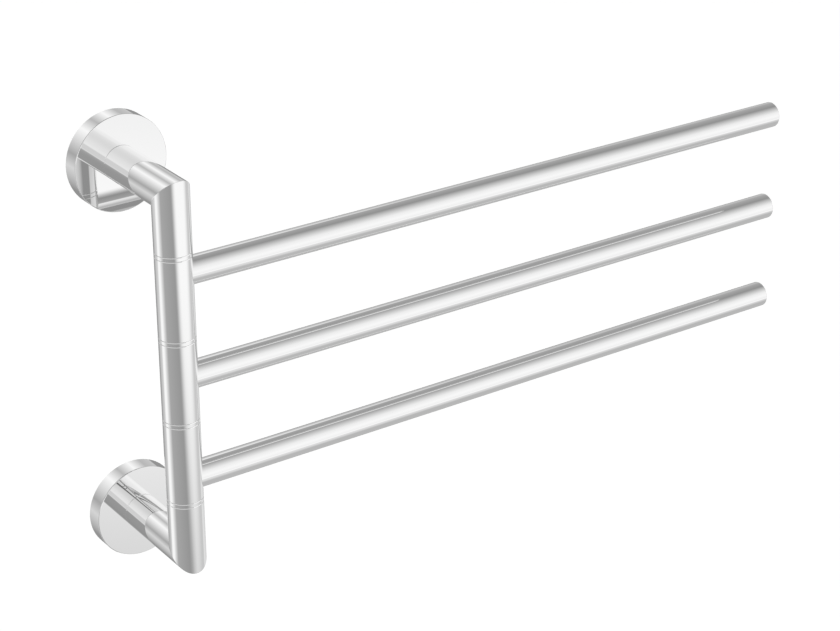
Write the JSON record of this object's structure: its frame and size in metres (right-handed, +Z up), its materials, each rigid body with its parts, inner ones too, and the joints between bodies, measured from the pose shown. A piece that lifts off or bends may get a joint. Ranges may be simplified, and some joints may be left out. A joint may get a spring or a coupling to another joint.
{
  "type": "swing arm towel bar",
  "caption": "Wall hung chrome towel rack: round rosettes and posts carry an upright column on which long round bars swing side to side.",
  "frame": {"origin": "on the wall plane, midway between the axes of the two posts", "axes": "+X along the bars at rest, away from the column; +Y into the wall; +Z up along the column"},
  "size_m": [0.4393, 0.0718, 0.2614],
  "materials": {
    "chrome_plate": "bright polished chrome plating",
    "turned_steel": "turned stainless steel",
    "cast_plate": "turned, left dull",
    "bush_plastic": "natural acetal"
  },
  "bodies": {
    "wall_frame": {"upper_wall_plate": "cast_plate", "upper_rosette": "chrome_plate", "upper_rosette_grub_screw": "turned_steel", "upper_post": "chrome_plate", "upper_post_plug": "turned_steel", "upper_post_screw": "turned_steel", "upper_post_washer": "turned_steel", "upper_column_end": "chrome_plate", "upper_column_plug": "turned_steel", "upper_lock_screw": "turned_steel", "lower_wall_plate": "cast_plate", "lower_rosette": "chrome_plate", "lower_rosette_grub_screw": "turned_steel", "lower_post": "chrome_plate", "lower_post_plug": "turned_steel", "lower_post_screw": "turned_steel", "lower_post_washer": "turned_steel", "lower_column_end": "chrome_plate", "lower_column_plug": "turned_steel", "lower_lock_screw": "turned_steel", "spindle": "turned_steel", "spacer_ring_1": "chrome_plate", "spacer_ring_2": "chrome_plate", "spacer_ring_3": "chrome_plate", "spacer_ring_4": "chrome_plate", "disc_spring": "turned_steel"},
    "top_arm": {"top_arm_collar": "chrome_plate", "top_arm_upper_bush": "bush_plastic", "top_arm_lower_bush": "bush_plastic", "top_arm_spigot": "turned_steel", "top_arm_bar": "chrome_plate", "top_arm_end_cap": "chrome_plate"},
    "middle_arm": {"middle_arm_collar": "chrome_plate", "middle_arm_upper_bush": "bush_plastic", "middle_arm_lower_bush": "bush_plastic", "middle_arm_spigot": "turned_steel", "middle_arm_bar": "chrome_plate", "middle_arm_end_cap": "chrome_plate"},
    "bottom_arm": {"bottom_arm_collar": "chrome_plate", "bottom_arm_upper_bush": "bush_plastic", "bottom_arm_lower_bush": "bush_plastic", "bottom_arm_spigot": "turned_steel", "bottom_arm_bar": "chrome_plate", "bottom_arm_end_cap": "chrome_plate"}
  },
  "joints": [
    {"name": "top_arm_swing", "type": "hinge", "parent": "wall_frame", "child": "top_arm", "pos_m": [0, -0.0618, 0.0595], "axis": [0, 0, -1], "range_deg": [-7, 187]},
    {"name": "middle_arm_swing", "type": "hinge", "parent": "wall_frame", "child": "middle_arm", "pos_m": [0, -0.0618, 0], "axis": [0, 0, -1], "range_deg": [-7, 187]},
    {"name": "bottom_arm_swing", "type": "hinge", "parent": "wall_frame", "child": "bottom_arm", "pos_m": [0, -0.0618, -0.0595], "axis": [0, 0, -1], "range_deg": [-7, 187]}
  ]
}
